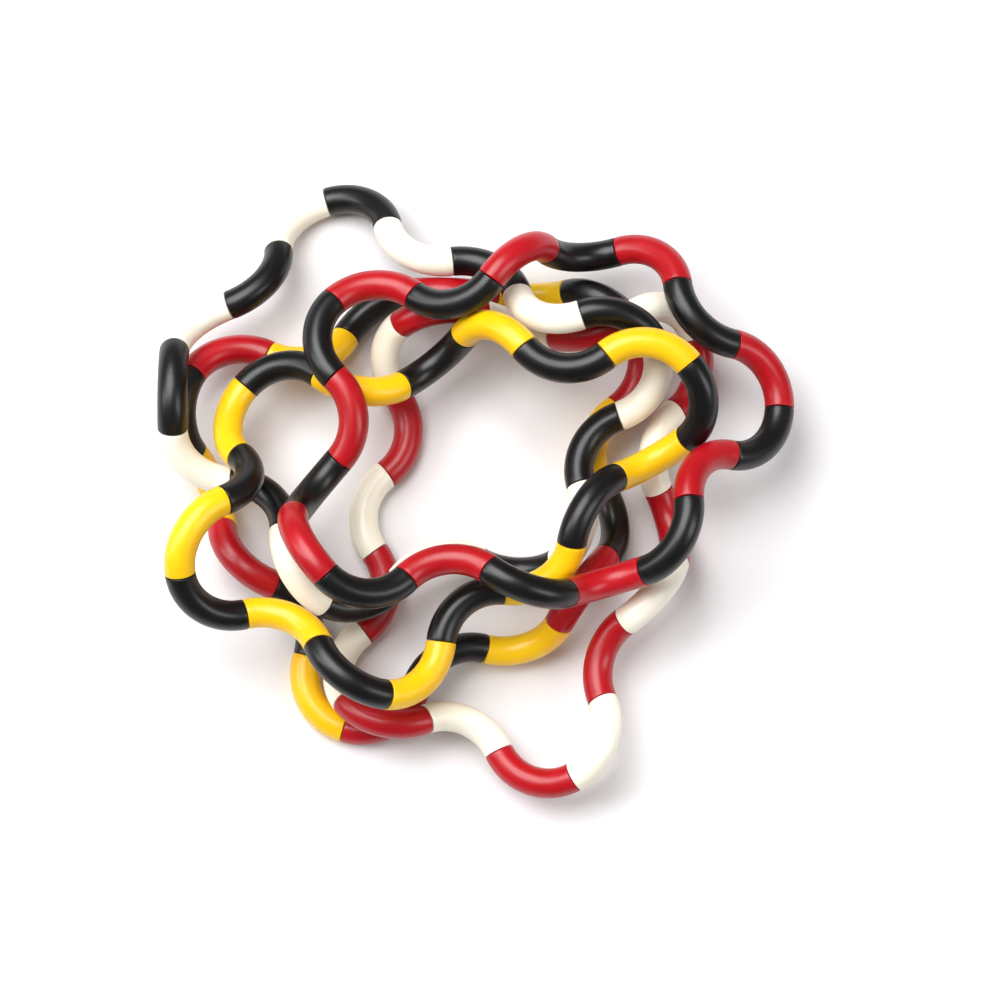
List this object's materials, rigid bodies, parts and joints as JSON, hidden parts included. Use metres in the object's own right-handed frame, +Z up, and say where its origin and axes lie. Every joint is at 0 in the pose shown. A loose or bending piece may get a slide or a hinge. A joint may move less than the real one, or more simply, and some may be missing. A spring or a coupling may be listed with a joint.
{
  "type": "twisty snake puzzle",
  "caption": "Loose pile of looped twisty snake puzzles: quarter-bend tube sections that snap end to end and swivel, lying on and across each other.",
  "frame": {"origin": "centre of the pile's footprint, on the table", "axes": "+X to the right, +Y to the back, +Z up"},
  "size_m": [0.2352, 0.2344, 0.0702],
  "materials": {
    "red_abs": "semi-gloss moulded ABS",
    "yellow_abs": "semi-gloss moulded ABS",
    "ivory_abs": "semi-gloss moulded ABS",
    "black_abs": "semi-gloss moulded ABS"
  },
  "bodies": {
    "loop_e": {"loop_e_run_01_03": "yellow_abs", "loop_e_run_04_06": "yellow_abs", "loop_e_run_07_09": "yellow_abs", "loop_e_run_10_12": "yellow_abs", "loop_e_run_13_15": "yellow_abs", "loop_e_run_16_18": "yellow_abs"},
    "loop_c": {"loop_c_run_06_09": "red_abs", "loop_c_run_10_13": "red_abs", "loop_c_run_14_18": "red_abs"},
    "loop_d": {"loop_d_section_06": "ivory_abs", "loop_d_run_07_09": "black_abs", "loop_d_run_10_12": "ivory_abs", "loop_d_run_13_15": "black_abs", "loop_d_run_16_18": "ivory_abs"},
    "loop_b": {"loop_b_section_06": "black_abs", "loop_b_section_07": "yellow_abs", "loop_b_section_08": "black_abs", "loop_b_section_09": "yellow_abs", "loop_b_section_10": "black_abs", "loop_b_section_11": "yellow_abs", "loop_b_section_12": "black_abs", "loop_b_section_13": "yellow_abs", "loop_b_section_14": "black_abs", "loop_b_section_15": "yellow_abs", "loop_b_section_16": "black_abs", "loop_b_section_17": "yellow_abs"},
    "loop_a": {"loop_a_section_01": "red_abs", "loop_a_section_02": "black_abs", "loop_a_section_03": "red_abs", "loop_a_section_11": "red_abs", "loop_a_section_12": "black_abs", "loop_a_section_13": "red_abs", "loop_a_section_14": "black_abs", "loop_a_section_15": "red_abs", "loop_a_section_16": "black_abs", "loop_a_section_17": "red_abs", "loop_a_section_18": "black_abs"},
    "loop_c_section_01_body": {"loop_c_section_01": "ivory_abs"},
    "loop_c_section_02_body": {"loop_c_section_02": "red_abs"},
    "loop_c_section_03_body": {"loop_c_section_03": "ivory_abs"},
    "loop_c_section_04_body": {"loop_c_section_04": "red_abs"},
    "loop_c_section_05_body": {"loop_c_section_05": "ivory_abs"},
    "loop_d_section_05_body": {"loop_d_section_05": "black_abs"},
    "loop_d_section_04_body": {"loop_d_section_04": "ivory_abs"},
    "loop_d_section_03_body": {"loop_d_section_03": "black_abs"},
    "loop_d_section_02_body": {"loop_d_section_02": "ivory_abs"},
    "loop_d_section_01_body": {"loop_d_section_01": "black_abs"},
    "loop_b_section_05_body": {"loop_b_section_05": "yellow_abs"},
    "loop_b_section_04_body": {"loop_b_section_04": "black_abs"},
    "loop_b_section_03_body": {"loop_b_section_03": "yellow_abs"},
    "loop_b_section_02_body": {"loop_b_section_02": "black_abs"},
    "loop_b_section_01_body": {"loop_b_section_01": "yellow_abs"},
    "loop_b_section_18_body": {"loop_b_section_18": "black_abs"},
    "loop_a_section_10_body": {"loop_a_section_10": "black_abs"},
    "loop_a_section_09_body": {"loop_a_section_09": "red_abs"},
    "loop_a_section_08_body": {"loop_a_section_08": "black_abs"},
    "loop_a_section_07_body": {"loop_a_section_07": "red_abs"},
    "loop_a_section_04_body": {"loop_a_section_04": "black_abs"},
    "loop_a_section_05_body": {"loop_a_section_05": "red_abs"},
    "loop_a_section_06_body": {"loop_a_section_06": "black_abs"}
  },
  "joints": [
    {"name": "loop_c_lift", "type": "slide", "parent": "loop_e", "child": "loop_c", "axis": [0, 0, 1], "range_m": [0, 0.07]},
    {"name": "loop_d_lift", "type": "slide", "parent": "loop_c", "child": "loop_d", "axis": [0, 0, 1], "range_m": [0, 0.07]},
    {"name": "loop_b_lift", "type": "slide", "parent": "loop_d", "child": "loop_b", "axis": [0, 0, 1], "range_m": [0, 0.07]},
    {"name": "loop_a_lift", "type": "slide", "parent": "loop_b", "child": "loop_a", "axis": [0, 0, 1], "range_m": [0, 0.07]},
    {"name": "loop_c_swivel_18_01", "type": "hinge", "parent": "loop_c", "child": "loop_c_section_01_body", "pos_m": [-0.01913, -0.08879, 0.01867], "axis": [0.8314, 0.3638, -0.4201], "range_deg": [0, 12]},
    {"name": "loop_c_swivel_01_02", "type": "hinge", "parent": "loop_c_section_01_body", "child": "loop_c_section_02_body", "pos_m": [0.00776, -0.10013, 0.01146], "axis": [-0.4336, 0.8974, -0.081], "range_deg": [0, 9]},
    {"name": "loop_c_swivel_02_03", "type": "hinge", "parent": "loop_c_section_02_body", "child": "loop_c_section_03_body", "pos_m": [0.03508, -0.1099, 0.01928], "axis": [-0.8523, -0.4377, -0.2865], "range_deg": [0, 18]},
    {"name": "loop_c_swivel_03_04", "type": "hinge", "parent": "loop_c_section_03_body", "child": "loop_c_section_04_body", "pos_m": [0.0458, -0.08184, 0.01867], "axis": [0.3476, -0.8831, 0.3151], "range_deg": [0, 114]},
    {"name": "loop_c_swivel_05_06", "type": "hinge", "parent": "loop_c", "child": "loop_c_section_05_body", "pos_m": [0.0729, -0.03067, 0.01635], "axis": [-0.1589, -0.5935, 0.789], "range_deg": [0, 180]},
    {"name": "loop_d_swivel_05_06", "type": "hinge", "parent": "loop_d", "child": "loop_d_section_05_body", "pos_m": [-0.03441, 0.09834, 0.01814], "axis": [-0.1648, 0.8768, -0.4517], "range_deg": [0, 150]},
    {"name": "loop_d_swivel_04_05", "type": "hinge", "parent": "loop_d_section_05_body", "child": "loop_d_section_04_body", "pos_m": [-0.05828, 0.11167, 0.00568], "axis": [-0.9589, -0.2497, -0.1349], "range_deg": [0, 126]},
    {"name": "loop_d_swivel_03_04", "type": "hinge", "parent": "loop_d_section_04_body", "child": "loop_d_section_03_body", "pos_m": [-0.076, 0.0894, 0.01532], "axis": [-0.1251, 0.7985, -0.5889], "range_deg": [0, 162]},
    {"name": "loop_d_swivel_02_03", "type": "hinge", "parent": "loop_d_section_03_body", "child": "loop_d_section_02_body", "pos_m": [-0.09325, 0.06625, 0.0237], "axis": [-0.9368, -0.2905, -0.1949], "range_deg": [0, 150]},
    {"name": "loop_d_swivel_01_02", "type": "hinge", "parent": "loop_d_section_02_body", "child": "loop_d_section_01_body", "pos_m": [-0.11209, 0.04599, 0.03542], "axis": [-0.0502, 0.6631, -0.7469], "range_deg": [0, 180]},
    {"name": "loop_b_swivel_05_06", "type": "hinge", "parent": "loop_b", "child": "loop_b_section_05_body", "pos_m": [-0.0132, -0.06186, 0.03256], "axis": [0.1067, 0.9902, 0.09], "range_deg": [0, 144]},
    {"name": "loop_b_swivel_04_05", "type": "hinge", "parent": "loop_b_section_05_body", "child": "loop_b_section_04_body", "pos_m": [-0.03273, -0.08216, 0.04302], "axis": [-0.8121, 0.0346, 0.5824], "range_deg": [0, 150]},
    {"name": "loop_b_swivel_03_04", "type": "hinge", "parent": "loop_b_section_04_body", "child": "loop_b_section_03_body", "pos_m": [-0.05694, -0.06444, 0.04469], "axis": [0.3273, -0.7994, 0.5038], "range_deg": [0, 72]},
    {"name": "loop_b_swivel_02_03", "type": "hinge", "parent": "loop_b_section_03_body", "child": "loop_b_section_02_body", "pos_m": [-0.08394, -0.05263, 0.03879], "axis": [0.9432, 0.2437, -0.226], "range_deg": [0, 180]},
    {"name": "loop_b_swivel_01_02", "type": "hinge", "parent": "loop_b_section_02_body", "child": "loop_b_section_01_body", "pos_m": [-0.10575, -0.04013, 0.05525], "axis": [0.0834, -0.8318, -0.5488], "range_deg": [0, 180]},
    {"name": "loop_b_swivel_17_18", "type": "hinge", "parent": "loop_b", "child": "loop_b_section_18_body", "pos_m": [-0.08738, 0.00636, 0.03495], "axis": [-0.6189, 0.566, -0.5445], "range_deg": [0, 147]},
    {"name": "loop_a_swivel_10_11", "type": "hinge", "parent": "loop_a", "child": "loop_a_section_10_body", "pos_m": [0.07391, 0.07051, 0.03753], "axis": [0.0818, -0.9555, 0.2833], "range_deg": [0, 135]},
    {"name": "loop_a_swivel_09_10", "type": "hinge", "parent": "loop_a_section_10_body", "child": "loop_a_section_09_body", "pos_m": [0.09446, 0.0489, 0.03374], "axis": [-0.8851, 0.061, 0.4614], "range_deg": [0, 180]},
    {"name": "loop_a_swivel_08_09", "type": "hinge", "parent": "loop_a_section_09_body", "child": "loop_a_section_08_body", "pos_m": [0.11211, 0.0264, 0.02453], "axis": [0.0544, 0.9981, -0.0276], "range_deg": [0, 168]},
    {"name": "loop_a_swivel_07_08", "type": "hinge", "parent": "loop_a_section_08_body", "child": "loop_a_section_07_body", "pos_m": [0.09292, 0.00648, 0.03628], "axis": [-0.8486, 0.0608, 0.5255], "range_deg": [0, 36]},
    {"name": "loop_a_swivel_03_04", "type": "hinge", "parent": "loop_a", "child": "loop_a_section_04_body", "pos_m": [0.00451, -0.03901, 0.05667], "axis": [-0.7399, 0.5785, -0.3434], "range_deg": [0, 9]},
    {"name": "loop_a_swivel_04_05", "type": "hinge", "parent": "loop_a_section_04_body", "child": "loop_a_section_05_body", "pos_m": [0.03212, -0.04609, 0.04714], "axis": [0.5595, 0.2456, -0.7916], "range_deg": [0, 45]},
    {"name": "loop_a_swivel_05_06", "type": "hinge", "parent": "loop_a_section_05_body", "child": "loop_a_section_06_body", "pos_m": [0.06059, -0.03734, 0.04313], "axis": [0.7803, 0.1661, 0.603], "range_deg": [0, 180]}
  ]
}
